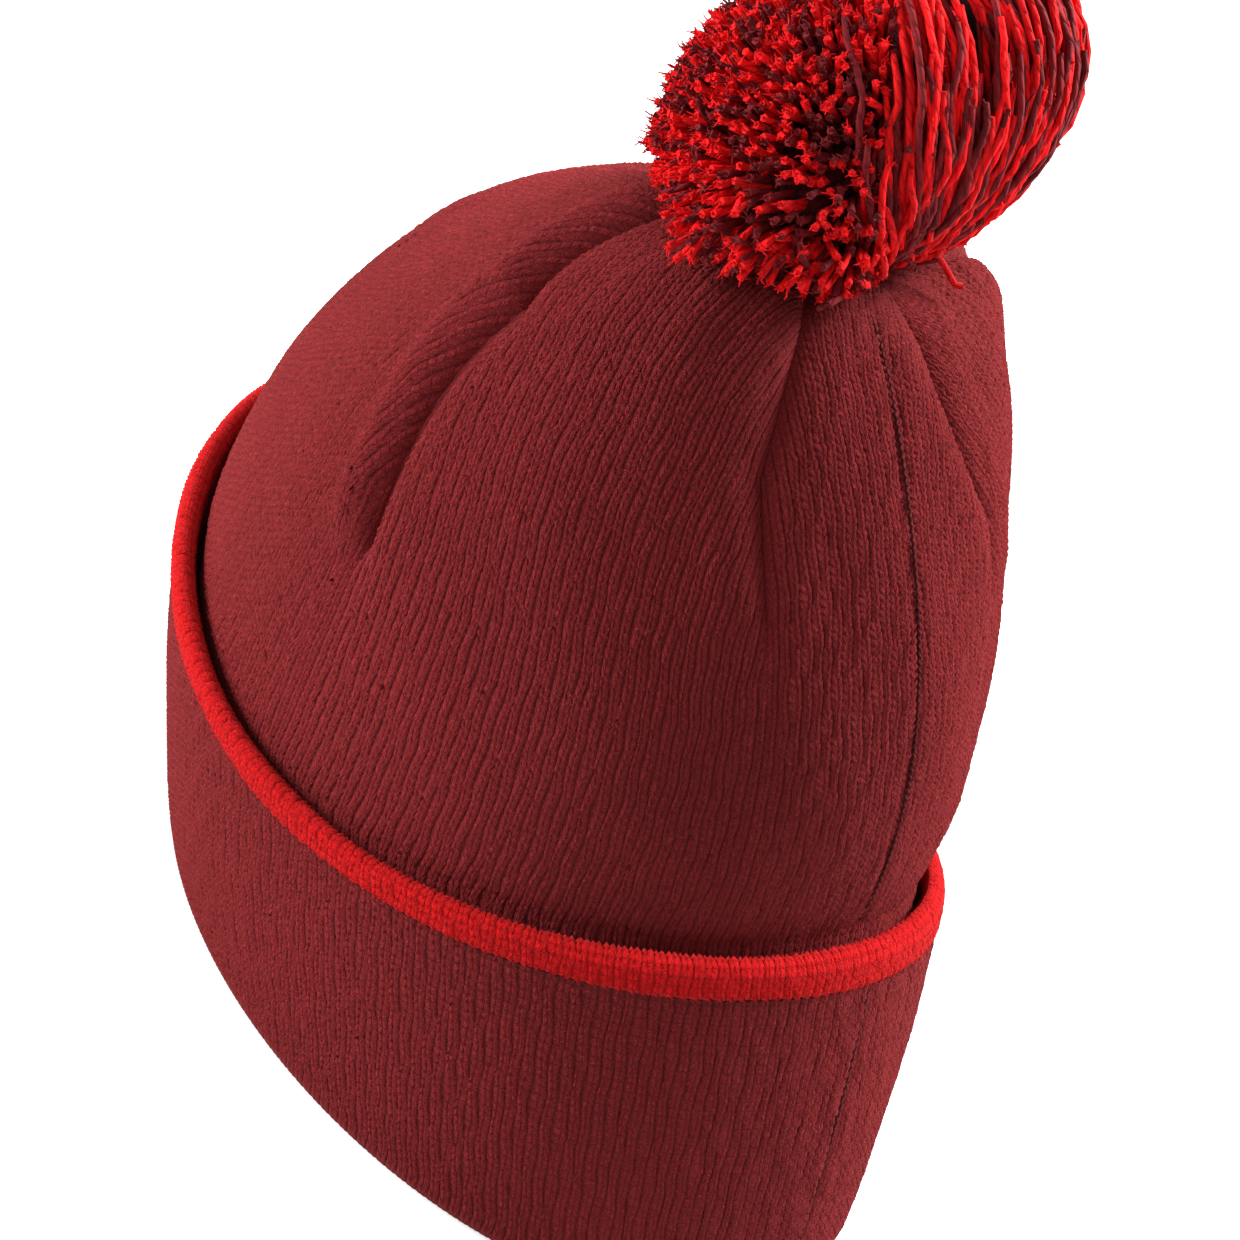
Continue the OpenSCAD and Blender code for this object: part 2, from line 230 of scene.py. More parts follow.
def crown_grid(rows, spacing, per_wale, slant, relief, depth, sink=None):
    """Points (row, column) of one face of a layer of the crown, with each column's wale number.

    slant lists how far each column of a wale leans up the courses, relief the height of each row
    and column of a stitch, and sink how far each row is pressed in."""
    courses = rows * np.where(rows < 0, WALL_RUN, CROWN_RUN) / CROWN_COURSE
    points, wale_numbers = [], []
    for k, wales, places, first in panel_columns(spacing, per_wale):
        widths, lookup = panel_map(k)
        start = (DARTS[k][4] + DARTS[(k + 1) % len(DARTS)][4]) / 2
        started = np.interp(start, levels, widths)
        place = np.broadcast_to(places, (len(rows), len(places)))
        level = np.broadcast_to(rows[:, None], place.shape)
        width = np.interp(level, levels, widths)
        pitch = np.where(level < start, width, started) / wales
        wale_of = (np.floor(places).astype(int) + first) % MOST_WALES
        column_kind = np.arange(len(places)) % per_wale
        across = (place - wales / 2) * pitch
        near = width / 2 - np.abs(across)
        fade = 1 - smooth(level, start - 0.03, start) * (1 - np.clip(near / (0.7 * pitch), 0, 1))
        height = np.zeros_like(level)
        if slant is not None:
            stitch = (np.rint(2 * courses).astype(int) // 2) % MOST_COURSES
            wobble = (0.10 * np.sin(0.9 * courses[:, None] + wale_phase[0][wale_of])
                      + 0.09 * np.sin(0.23 * courses[:, None] + wale_phase[1][wale_of])
                      + stitch_shift[wale_of][:, stitch].T)
            across = across + wobble * pitch * np.clip(near / (2 * pitch), 0, 1)
            sway = 0.25 * np.sin(0.31 * courses[:, None] + wale_phase[2][wale_of])
            lean = (np.asarray(slant)[column_kind] + sway) * CROWN_COURSE
            level = level + lean / np.where(level < 0, WALL_RUN, CROWN_RUN) * fade
            level = np.minimum(level, 0.999)
            width = np.interp(level, levels, widths)
            height = height + stitch_play[wale_of][:, stitch].T * fade
        if relief is not None:
            row_kind = np.rint(2 * courses).astype(int) % len(relief)
            height = height + np.asarray(relief)[row_kind[:, None], column_kind[None]] * fade
        across = np.clip(across, -width / 2, width / 2)
        turn = blended(lookup, across / width + 0.5, (level + 1) / 2)
        base = knit_point(turn, level, depth)
        out = blended(normals, (turn % 360) / 360, (level + 1) / 2)
        out /= np.linalg.norm(out, axis=-1, keepdims=True)
        if depth < BOTH_LAYERS - 0.1:
            height = shaped(height, k, across, width, turn, level)
        if sink is not None:
            height = height - np.asarray(sink)[:, None]
        points.append(base + out * height[..., None])
        wale_numbers.append(first + places)
    return np.concatenate(points, 1), np.concatenate(wale_numbers)


def new_object(name, data):
    """A new object in the scene, at the origin."""
    made = bpy.data.objects.new(name, data)
    bpy.context.scene.collection.objects.link(made)
    return made


def knitted_skin(name, grid, wale, course):
    """A closed skin through rows of points that wrap both ways, in mm, with a map in stitches."""
    n_rows, n_columns = grid.shape[:2]
    flat, back = np.unique(np.round(grid.reshape(-1, 3), 4), axis=0, return_inverse=True)
    back = back.reshape(n_rows, n_columns)
    r, c = np.meshgrid(np.arange(n_rows), np.arange(n_columns), indexing="ij")
    r2, c2 = (r + 1) % n_rows, (c + 1) % n_columns
    corners = np.stack([back[r, c], back[r, c2], back[r2, c2], back[r2, c]], -1).reshape(-1, 4)
    total = wale[-1] + (wale[1] - wale[0])
    u, u2 = wale[c], np.where(c2 == 0, total, wale[c2])
    v, v2 = course[r], course[r2]
    maps = np.stack([u, v, u2, v, u2, v2, u, v2], -1).reshape(-1, 4, 2)
    kept = corners != np.roll(corners, 1, axis=1)
    crossed = (corners[:, 0] == corners[:, 2]) | (corners[:, 1] == corners[:, 3])
    count = kept.sum(1) * ~crossed
    p = flat[corners[count == 4]]
    volume = np.einsum("ij,ij->i", p[:, 0], np.cross(p[:, 1], p[:, 2])
                       + np.cross(p[:, 2], p[:, 3])).sum()
    order = slice(None) if volume > 0 else slice(None, None, -1)
    faces, loops = [], []
    for corner, keep, uv, n in zip(corners.tolist(), kept.tolist(), maps.tolist(), count.tolist()):
        if n < 3:
            continue
        ring = [(a, b) for a, b, k in zip(corner, uv, keep) if k][order]
        faces.append([a for a, _ in ring])
        loops.extend(x for _, b in ring for x in b)
    mesh = bpy.data.meshes.new(name)
    mesh.from_pydata((flat * MM).tolist(), [], faces)
    layer = mesh.uv_layers.new(name="stitches")
    layer.data.foreach_set("uv", loops)
    mesh.polygons.foreach_set("use_smooth", [True] * len(mesh.polygons))
    mesh.update()
    return new_object(name, mesh)


STITCH_SLANT = (0.85, 0.42, 0.0, 0.42)
STITCH_RELIEF = ((-0.52, 0.02, -0.3, 0.02), (-0.44, 0.44, -0.1, 0.44))
JOIN_SINK = (1.6, 0.10, 0.05)
HIDDEN_LEVELS = (-0.94, -0.6, -0.3)
half_courses = np.arange(-12, round(2 * CROWN_RUN / CROWN_COURSE))
crown_rows = half_courses * CROWN_COURSE / 2 / np.where(half_courses < 0, WALL_RUN, CROWN_RUN)


def crown_length(name, first, last, hidden, inner):
    """One length of the crown's outer layer, from one row of half stitches to another.

    Its ends dip under the next length between two courses, so that the stitches run on."""
    rows = crown_rows[first:last]
    sink = np.zeros(len(rows))
    if first > 0:
        sink[:3] = JOIN_SINK
    if last < len(crown_rows):
        sink[-3:] = JOIN_SINK[::-1]
    shown, wale_count = crown_grid(rows, CROWN_WALE, 4, STITCH_SLANT, STITCH_RELIEF, 0.0, sink)
    under, _ = crown_grid(hidden, CROWN_WALE, 4, None, None, 0.0)
    inside, _ = crown_grid(inner, CROWN_WALE, 4, None, None, PLY)
    every_row = np.concatenate([hidden, rows, inner])
    courses = every_row * np.where(every_row < 0, WALL_RUN, CROWN_RUN) / CROWN_COURSE
    return knitted_skin(name, np.concatenate([under, shown, inside]), wale_count, courses)


join = len(crown_rows) // 2
crown_foot = crown_length(
    "crown", 0, join + 4, np.array(HIDDEN_LEVELS),
    np.concatenate([np.linspace(crown_rows[join + 3], 0.0, 6), HIDDEN_LEVELS[::-1]]))
crown_top = crown_length(
    "crown_top", join - 2, len(crown_rows), np.zeros(0),
    np.concatenate([[1.0], np.linspace(0.98, crown_rows[join - 2], 9)]))


class Wire:
    """A value in a node tree, whose sums and products are made as Math nodes."""

    def __init__(self, tree, socket):
        self.tree, self.socket = tree, socket

    def maths(self, operation, *others):
        """The result of a Math node that takes this value, and others after it."""
        node = self.tree.nodes.new("ShaderNodeMath")
        node.operation = operation
        for value, into in zip((self,) + others, node.inputs):
            if isinstance(value, Wire):
                self.tree.links.new(value.socket, into)
            else:
                into.default_value = value
        return Wire(self.tree, node.outputs[0])

    def __add__(self, other):
        return self.maths("ADD", other)

    def __sub__(self, other):
        return self.maths("SUBTRACT", other)

    def __mul__(self, other):
        return self.maths("MULTIPLY", other)

    def __pow__(self, other):
        return self.maths("POWER", other)

    def __abs__(self):
        return self.maths("ABSOLUTE")


def new_group(name, *inputs):
    """A group of shader nodes for a colour and a height, with its ends and object coordinates."""
    group = bpy.data.node_groups.new(name, "ShaderNodeTree")
    for ends, way in ((inputs, "INPUT"), ((("Color", "Color"), ("Height", "Float")), "OUTPUT")):
        for label, kind in ends:
            group.interface.new_socket(name=label, in_out=way, socket_type="NodeSocket" + kind)
    given, made = group.nodes.new("NodeGroupInput"), group.nodes.new("NodeGroupOutput")
    place = group.nodes.new("ShaderNodeTexCoord").outputs["Object"]
    return group, given.outputs, made.inputs, place


def parted(tree, vector):
    """The first two parts of a vector."""
    node = tree.nodes.new("ShaderNodeSeparateXYZ")
    tree.links.new(vector, node.inputs[0])
    return Wire(tree, node.outputs[0]), Wire(tree, node.outputs[1])


def mixed(tree, factor, a, b):
    """A Mix node for colours, fed by colours or sockets."""
    node = tree.nodes.new("ShaderNodeMix")
    node.data_type = "RGBA"
    for socket, value in ((node.inputs[0], factor), (node.inputs[6], a), (node.inputs[7], b)):
        if isinstance(value, tuple):
            socket.default_value = value
        else:
            tree.links.new(value, socket)
    return node.outputs[2]


def brightened(tree, colour, value):
    """A colour made lighter or darker by a value."""
    node = tree.nodes.new("ShaderNodeHueSaturation")
    tree.links.new(colour, node.inputs["Color"])
    tree.links.new(value.socket, node.inputs["Value"])
    return node.outputs[0]


def noise(tree, vector, scale, detail=2.0, rough=0.5):
    """A Noise texture read at a vector."""
    node = tree.nodes.new("ShaderNodeTexNoise")
    for label, value in (("Scale", scale), ("Detail", detail), ("Roughness", rough)):
        node.inputs[label].default_value = value
    tree.links.new(vector, node.inputs["Vector"])
    return Wire(tree, node.outputs["Fac"])


def srgb(red, green, blue):
    """A colour given in sRGB from 0 to 255, as a linear one."""
    return tuple(
        (x / 12.92 if x <= 0.04045 else ((x + 0.055) / 1.055) ** 2.4)
        for x in (red / 255, green / 255, blue / 255)) + (1.0,)


# Knitted yarn: each stitch is a shade lighter or darker than the next, its gaps get painted shade,
# and the fibres that stand off it get painted highlights. The map's whole numbers are wales and
# courses.
knit_look, given, made, place = new_group(
    "knitted_yarn", ("Map", "Vector"), ("Yarn", "Color"), ("Gap shade", "Color"), ("Fluff highlight", "Color"),
    ("Gap shade and depth", "Float"), ("Fluff highlight amount", "Float"))
wale, course = parted(knit_look, given["Map"])
from_middle = abs(wale.maths("FRACT") - 0.5)
leg_across = abs(from_middle - 0.25)
leg_along = abs((course - from_middle * 1.7).maths("FRACT") - 0.5)
# Where the gaps between stitches are: they are painted darker as shade and sunk in the relief.
across_gap_shade_relief = ((from_middle * 2.0) ** 5.0).maths("MAXIMUM", (leg_across * 4.0) ** 4.0 * 0.7)
gap_shade_relief = across_gap_shade_relief.maths("MAXIMUM", (leg_along * 2.0) ** 4.0 * 0.75)
patch = noise(knit_look, place, 24.0)
stitch_shade = noise(knit_look, place, 640.0, 3.0, 0.6)
fibre = noise(knit_look, place, 2300.0, 2.0, 0.75)
gap_shade_relief = gap_shade_relief * (stitch_shade * 2.6 - 0.55).maths("MAXIMUM", 0.15)
gap_shade_relief = (gap_shade_relief * Wire(knit_look, given["Gap shade and depth"])).maths("MINIMUM", 1.0)
yarn = brightened(knit_look, given["Yarn"], stitch_shade * 1.1 - 0.30 + fibre + patch * 0.28)
# The fibres that stand off the yarn get a painted highlight in the fluff colour.
fluff_highlight_mask = (fibre - 0.56).maths("SMOOTH_MAX", 0.0, 0.02) * 5.0
fluff_highlight_mask = fluff_highlight_mask * Wire(knit_look, given["Fluff highlight amount"])
fluff_highlit = mixed(knit_look, fluff_highlight_mask.socket, yarn, given["Fluff highlight"])
# The gaps are painted in the gap colour as shade.
knit_look.links.new(mixed(knit_look, gap_shade_relief.socket, fluff_highlit, given["Gap shade"]), made["Color"])
knit_look.links.new((fibre * 1.3 - gap_shade_relief).socket, made["Height"])


def new_material(name):
    """A new material, with its node tree."""
    material = bpy.data.materials.new(name)
    material.use_nodes = True
    return material, material.node_tree


def use_group(tree, group, values):
    """A node that uses a node group, with its inputs set."""
    node = tree.nodes.new("ShaderNodeGroup")
    node.node_tree = group
    for label, value in values.items():
        node.inputs[label].default_value = value
    return node


def finish_surface(tree, colour, height, bump, values):
    """Gives a material's shader its colour, its relief (strength, distance) and other values."""
    shader = tree.nodes["Principled BSDF"]
    tree.links.new(colour, shader.inputs["Base Color"])
    relief = tree.nodes.new("ShaderNodeBump")
    relief.inputs["Strength"].default_value, relief.inputs["Distance"].default_value = bump
    tree.links.new(height, relief.inputs["Height"])
    tree.links.new(relief.outputs[0], shader.inputs["Normal"])
    for label, value in values.items():
        shader.inputs[label].default_value = value


def knit_material(name, yarn, gap_shade, fluff_highlight, gap_shade_and_depth=0.8, fluff_highlight_amount=0.5):
    """A matt, slightly hairy yarn in one colour, with painted shade in the gaps between its
    stitches and painted highlights on its fluff, mapped in stitches.
    """
    material, tree = new_material(name)
    look = use_group(tree, knit_look, {
        "Yarn": yarn, "Gap shade": gap_shade, "Fluff highlight": fluff_highlight,
        "Gap shade and depth": gap_shade_and_depth, "Fluff highlight amount": fluff_highlight_amount})
    stitches = tree.nodes.new("ShaderNodeUVMap")
    stitches.uv_map = "stitches"
    tree.links.new(stitches.outputs[0], look.inputs["Map"])
    finish_surface(tree, look.outputs["Color"], look.outputs["Height"], (0.9, 0.0005), {
        "Roughness": 0.9, "Specular IOR Level": 0.15,
        "Sheen Weight": 0.35, "Sheen Roughness": 0.5, "Sheen Tint": fluff_highlight})
    return material


# The gap colour is painted shade, and the fluff colour is a painted highlight.
MAROON, MAROON_GAP_SHADE, MAROON_FLUFF_HIGHLIGHT = srgb(119, 25, 28), srgb(30, 0, 1), srgb(182, 70, 72)
maroon_knit = knit_material("maroon_knit", MAROON, MAROON_GAP_SHADE, MAROON_FLUFF_HIGHLIGHT)


def dressed(piece, material, body, slot, *nodes):
    """Gives a finished piece its material and its body, and hides the nodes it stands for. Its slot
    is not used.
    """
    piece.data.materials.clear()
    piece.data.materials.append(material)
    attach(piece, body)
    if nodes:
        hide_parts(*nodes)


# Each layer is one tube, 0.59 m round and about 0.27 m from the fold to the gathered top.
for length, flat, area in ((crown_foot, (0.59, 0.16), 0.094), (crown_top, (0.56, 0.1), 0.036)):
    dressed(length, maroon_knit, "hat", "maroon_knit", "crown_knit")


# ---- Lining ----
# The second layer lines the crown and the wall behind the cuff. It is the same knit, seen from
# its back, so it shows soft ribs. The linked seam ridges lie on it.
LINING_WALE, LINING_RELIEF = 2.9, ((0.0, 0.3),)
lining_depth = PLY + LAYER_GAP
lining_in_rows = np.concatenate([np.linspace(-1, -0.02, 24), np.linspace(0, 0.985, 52), [1.0]])
lining_out_rows = np.concatenate([[1.0], np.linspace(0.97, 0, 10), [-0.35, -0.7, -1.0]])
facing_in, lining_wales = crown_grid(
    lining_in_rows, LINING_WALE, 2, None, LINING_RELIEF, BOTH_LAYERS)
facing_out, _ = crown_grid(lining_out_rows, LINING_WALE, 2, None, None, lining_depth + 0.15)
lining_courses = np.concatenate([lining_in_rows, lining_out_rows]) * CROWN_RUN / CROWN_COURSE
lining = knitted_skin(
    "lining", np.concatenate([facing_in, facing_out]), lining_wales, lining_courses)
# Its gap colour is painted shade, and its fluff colour is a painted highlight.
lining_knit = knit_material(
    "lining_knit", srgb(106, 22, 25), srgb(34, 1, 2), MAROON_FLUFF_HIGHLIGHT, gap_shade_and_depth=0.5, fluff_highlight_amount=0.2)
dressed(lining, lining_knit, "hat", "maroon_knit", "crown_lining", "wall_lining")


# ---- Cuff ----
# The same tube is turned back on itself at the brim, so the cuff is double and shows the lining
# layer's outside. Its stitches run down from the tipping and round the fold.
CUFF_WALES, CUFF_COURSE = 224, 2.1
TIPPING_HEIGHT = 6.5
cuff_end = 1 - (TIPPING_HEIGHT + LAYER_GAP) / CUFF_HEIGHT


def round_the_cuff(columns):
    """For every column of points round the cuff: its kind within a wale, its turn and its wale."""
    every = np.arange(CUFF_WALES * columns)
    return every % columns, every * 360 / (CUFF_WALES * columns), every // columns


def cuff_grid(path, slant, relief, columns=4):
    """Points along a path of (up, depth, drop) steps, all round the hat, with stitches."""
    kinds, turn, wale_of = round_the_cuff(columns)
    rows = []
    for k, (up, depth, drop) in enumerate(path):
        height = np.asarray(relief)[k % len(relief)][kinds] if relief is not None else 0.0
        lean, soft = 0.0, 1.0
        if slant is not None:
            lean = np.asarray(slant)[kinds] * CUFF_COURSE / CUFF_HEIGHT
            soft = float(smooth(up, 0.0, 0.06))
        shown = depth < 1 and slant is not None
        stitch = k // 2 % MOST_COURSES
        wobble = (0.10 * np.sin(0.45 * k + wale_phase[0][wale_of])
                  + 0.09 * np.sin(0.12 * k + wale_phase[1][wale_of])
                  + stitch_shift[wale_of, stitch]) * shown
        placed = turn + wobble * 360 / CUFF_WALES * soft
        height = height + stitch_play[wale_of, stitch] * shown
        wrinkle = 0.45 * np.sin(np.radians(turn) * 7 + 5 * up) * np.sin(3.1 * up + 0.8)
        sunk = seam_shape(np.abs((turn + 180) % 360 - 180) * 1.9)
        shift = height + (wrinkle + sunk) * math.sin(math.pi * min(max(up, 0), 1)) * (depth < 1)
        rows.append(wall_point(placed, up + lean * soft, depth - shift, drop))
    return np.stack(rows), np.arange(CUFF_WALES * columns) / columns


CUFF_SLANT = (0.0, 0.42, 0.85, 0.42)
half_course = CUFF_COURSE / 2 / CUFF_HEIGHT
steps = int((cuff_end - 0.02) * CUFF_HEIGHT * 2 / CUFF_COURSE)
outside = [(cuff_end - k * half_course - 0.012, 0.0, 0.0) for k in range(steps)]
fold_flat = math.sin(math.radians(72))
fold_angles = (12, 30, 48, 66, 78, 90, 102, 114, 132, 150, 168)


def fold_step(angle, depth):
    """A step round the fold, which is flat underneath, where the brim stands."""
    reach = FOLD_RADIUS - depth
    a = math.radians(angle)
    return 0.0, FOLD_RADIUS - reach * math.cos(a), reach * min(math.sin(a) / fold_flat, 1.0)


outer_part, cuff_wales = cuff_grid(outside, CUFF_SLANT, STITCH_RELIEF)
fold_part, _ = cuff_grid(
    [fold_step(a, 0.0) for a in fold_angles], None, ((-0.2, 0.0, -0.1, 0.0),))
inner_path = ([(0.0, 2 * FOLD_RADIUS, 0.0)] + [fold_step(a, PLY) for a in (180, 135, 90, 45)]
              + [(s, PLY, 0.0) for s in np.linspace(0, cuff_end, 7)])
inner_part, _ = cuff_grid(inner_path, None, None)
lip_part, _ = cuff_grid([(cuff_end, 0.0, 0.0)], None, None)
cuff_points = np.concatenate([lip_part, outer_part, fold_part, inner_part])
cuff_courses = np.concatenate([
    [0], np.arange(len(outside)) / 2, steps / 2 + np.arange(len(cuff_points) - steps - 1)])
cuff = knitted_skin("cuff", cuff_points, cuff_wales, -cuff_courses)
dressed(cuff, maroon_knit, "hat", "maroon_knit", "cuff_knit")

# The crown's layer turned up inside the cuff, plain because nothing shows of it.
turned_path = [(s, PLY + LAYER_GAP, 0.0) for s in np.linspace(cuff_end, 0.05, 5)]
turned_back = [(s, BOTH_LAYERS - 0.05, 0.0) for s in np.linspace(0.05, cuff_end, 5)]
turned_points, turned_wales = cuff_grid(turned_path + turned_back, None, None, 1)
turned_up = knitted_skin("cuff_facing", turned_points, turned_wales, np.arange(10.0))
dressed(turned_up, maroon_knit, "hat", "maroon_knit", "crown_knit")


# ---- Tipping ----
# A band of red knit finishes the cuff's free edge. It is sewn on double and rolls over, so it
# stands a little proud of the cuff outside and lies round like a cord on top.
TIPPING_COURSE = 1.75
TIPPING_HALF = 2.6
tipping_middle = PLY + LAYER_GAP / 2
straight = TIPPING_HEIGHT - TIPPING_HALF
over = math.pi * TIPPING_HALF
length = 2 * straight + over
count = int(length / (TIPPING_COURSE / 2))
profile = [(-0.05, -TIPPING_HEIGHT + 0.2), (-0.3, -TIPPING_HEIGHT - 0.1)]
for k in range(count + 1):
    along = length * k / count
    if along < straight:
        profile.append((tipping_middle - TIPPING_HALF, -TIPPING_HEIGHT + along))
    elif along < straight + over:
        a = (along - straight) / TIPPING_HALF
        profile.append((tipping_middle - TIPPING_HALF * math.cos(a),
                        TIPPING_HALF * math.sin(a) - TIPPING_HALF))
    else:
        profile.append((tipping_middle + TIPPING_HALF, -TIPPING_HALF - (along - straight - over)))
kinds, turn, wale_of = round_the_cuff(4)
rows = []
for k, (depth, up) in enumerate(profile):
    ends = 0.0 if k in (0, len(profile) - 1) else 1.0
    relief = np.asarray(STITCH_RELIEF)[k % 2][kinds] * ends * (0.3 if k == 1 else 1.0)
    relief = relief + stitch_play[wale_of, k // 2] * 0.7 * ends * (k > 1)
    lean = -(np.asarray(STITCH_SLANT)[kinds] - 0.4) * TIPPING_COURSE * ends
    nearby = [profile[min(max(k + d, 0), len(profile) - 1)] for d in (-1, 1)]
    slope = np.array([nearby[1][0] - nearby[0][0], nearby[1][1] - nearby[0][1]])
    slope /= np.linalg.norm(slope)
    bulge = 0.35 * np.sin(np.radians(turn) * 11 + 0.9) * np.sin(np.radians(turn) * 3)
    new_depth = depth + lean * slope[0] - (relief + bulge * 0.5) * slope[1]
    new_up = up + lean * slope[1] + (relief + bulge * 0.5) * slope[0]
    shift = 0.09 * np.sin(0.7 * k + wale_phase[0][wale_of]) + 0.7 * stitch_shift[wale_of, k // 2]
    placed = turn + shift * ends * 360 / CUFF_WALES
    rows.append(wall_point(placed, 1 + new_up / CUFF_HEIGHT, new_depth))
tipping = knitted_skin(
    "edge_tipping_knit", np.stack(rows), np.arange(CUFF_WALES * 4) / 4, np.arange(len(profile)) / 2)
# The gap colour is painted shade, and the fluff colour is a painted highlight.
RED, RED_GAP_SHADE, RED_FLUFF_HIGHLIGHT = srgb(200, 8, 13), srgb(70, 0, 0), srgb(228, 70, 70)
red_knit = knit_material("red_knit", RED, RED_GAP_SHADE, RED_FLUFF_HIGHLIGHT, gap_shade_and_depth=0.6, fluff_highlight_amount=0.25)
dressed(tipping, red_knit, "hat", "red_knit", "edge_tipping")


# ---- Seam threads ----
# Fine maroon thread links the tipping to the cuff in a chain, and closes the back seam on the
# crown and on the cuff. Each thread is swept along its own line of stitches.
def sweep_tree():
    """Geometry nodes that sweep a round strand along the edges of a mesh."""
    tree = bpy.data.node_groups.new("swept_strand", "GeometryNodeTree")
    for label, kind in (("Geometry", "Geometry"), ("Radius", "Float"), ("Sides", "Int"),
                        ("Material", "Material")):
        tree.interface.new_socket(name=label, in_out="INPUT", socket_type="NodeSocket" + kind)
    tree.interface.new_socket(name="Geometry", in_out="OUTPUT", socket_type="NodeSocketGeometry")
    given, made = tree.nodes.new("NodeGroupInput"), tree.nodes.new("NodeGroupOutput")

    def add(kind, **sources):
        """A new node with its inputs linked to what is given by name."""
        node = tree.nodes.new(kind)
        for label, source in sources.items():
            tree.links.new(source, node.inputs[label.replace("_", " ")])
        return node

    def measured(curve, item, measure):
        """The curve with how far along it each point is kept under a name."""
        parameter = add("GeometryNodeSplineParameter")
        capture = tree.nodes.new("GeometryNodeCaptureAttribute")
        capture.domain = "POINT"
        capture.capture_items.new("FLOAT", item)
        tree.links.new(curve, capture.inputs["Geometry"])
        tree.links.new(parameter.outputs[measure], capture.inputs[item])
        return capture.outputs["Geometry"], capture.outputs[item]

    line, along = measured(
        add("GeometryNodeMeshToCurve", Mesh=given.outputs["Geometry"]).outputs["Curve"],
        "Along", "Length")
    circle = add("GeometryNodeCurvePrimitiveCircle",
                 Resolution=given.outputs["Sides"], Radius=given.outputs["Radius"])
    ring, around = measured(circle.outputs["Curve"], "Around", "Factor")
    thickness = add("GeometryNodeInputNamedAttribute")
    thickness.inputs["Name"].default_value = "thickness"
    sweep = add("GeometryNodeCurveToMesh", Curve=line, Profile_Curve=ring,
                Scale=thickness.outputs["Attribute"])
    sweep.inputs["Fill Caps"].default_value = True
    both = add("ShaderNodeCombineXYZ", X=around, Y=along)
    store = tree.nodes.new("GeometryNodeStoreNamedAttribute")
    store.data_type, store.domain = "FLOAT2", "CORNER"
    store.inputs["Name"].default_value = "strand"
    tree.links.new(sweep.outputs["Mesh"], store.inputs["Geometry"])
    tree.links.new(both.outputs[0], store.inputs["Value"])
    shade = add("GeometryNodeSetShadeSmooth", Geometry=store.outputs["Geometry"])
    real = add("GeometryNodeRealizeInstances", Geometry=shade.outputs["Geometry"])
    paint = add("GeometryNodeSetMaterial", Geometry=real.outputs["Geometry"],
                Material=given.outputs["Material"])
    tree.links.new(paint.outputs["Geometry"], made.inputs["Geometry"])
    return tree


swept_strand = sweep_tree()
strand_sockets = {socket.name: socket.identifier for socket in swept_strand.interface.items_tree
                  if socket.in_out == "INPUT"}


def swept(name, lines, radius, sides, material, closed=False, swell=(1.0, 1.0)):
    """One plain mesh of strands, swept along lines of points in mm.

    swell gives how thick each strand is at its start and end, against its middle."""
    points, edges, tints, thick = [], [], [], []
    for number, line in enumerate(lines):
        first = len(points)
        points.extend((np.asarray(line) * MM).tolist())
        edges.extend((first + k, first + k + 1) for k in range(len(line) - 1))
        tints.extend([(number * 0.618034) % 1] * len(line))
        thick.extend([swell[0]] + [1.0] * (len(line) - 2) + [swell[1]])
        if closed:
            edges.append((first + len(line) - 1, first))
    guide = bpy.data.meshes.new(name)
    guide.from_pydata(points, edges, [])
    for label, values in (("tint", tints), ("thickness", thick)):
        guide.attributes.new(label, "FLOAT", "POINT").data.foreach_set("value", values)
    strand = new_object(name, guide)
    modifier = strand.modifiers.new("strand", "NODES")
    modifier.node_group = swept_strand
    for label, value in (("Radius", radius * MM), ("Sides", sides), ("Material", material)):
        modifier[strand_sockets[label]] = value
    shape = strand.evaluated_get(bpy.context.evaluated_depsgraph_get())
    mesh = bpy.data.meshes.new_from_object(shape)
    strand.modifiers.clear()
    strand.data = mesh
    bpy.data.meshes.remove(guide)
    mesh.name = name
    return strand


# Twisted strands: plies wind round each strand with painted shade in the grooves between them,
# and each strand is a little lighter or darker than the next.
twist_look, given, made, place = new_group(
    "twisted_strand", ("Colour", "Color"), ("Turns per metre", "Float"), ("Depth", "Float"))
strand_map, strand_tint = (twist_look.nodes.new("ShaderNodeAttribute") for _ in range(2))
strand_map.attribute_name, strand_tint.attribute_name = "strand", "tint"
around, along = parted(twist_look, strand_map.outputs["Vector"])
wound = around * 2.0 + along * Wire(twist_look, given["Turns per metre"])
groove_shade_and_relief = (abs(wound.maths("FRACT") - 0.5) * 2.0) ** 3.0
fibres = noise(twist_look, place, 2400.0, 2.0, 0.7)
value = Wire(twist_look, strand_tint.outputs["Fac"]) * 0.45 + 0.7 + (fibres - 0.5) * 0.7
# The grooves between the plies are darkened as painted shade.
value = value * (groove_shade_and_relief * Wire(twist_look, given["Depth"]) * -1.0 + 1.0)
twist_look.links.new(brightened(twist_look, given["Colour"], value), made["Color"])
twist_look.links.new((fibres * 0.4 - groove_shade_and_relief).socket, made["Height"])


def strand_material(name, colour, turns, depth, sheen=0.3):
    """Twisted yarn or thread in one colour, with painted shade between its plies, mapped along and
    round each strand.
    """
    material, tree = new_material(name)
    # depth sets how much the grooves between the plies are darkened, as painted shade.
    look = use_group(
        tree, twist_look, {"Colour": colour, "Turns per metre": turns, "Depth": depth})
    finish_surface(tree, look.outputs["Color"], look.outputs["Height"], (0.7, 0.0004), {
        "Roughness": 0.85, "Specular IOR Level": 0.2,
        "Sheen Weight": sheen, "Sheen Roughness": 0.5, "Sheen Tint": colour})
    return material


seam_thread = strand_material("seam_thread", srgb(92, 16, 18), 500.0, 0.4)


def zigzag(count, reach):
    """Steps to one side and the other, as a thread takes them along its row of stitches."""
    return np.where(np.arange(count) % 2 == 0, -reach, reach)


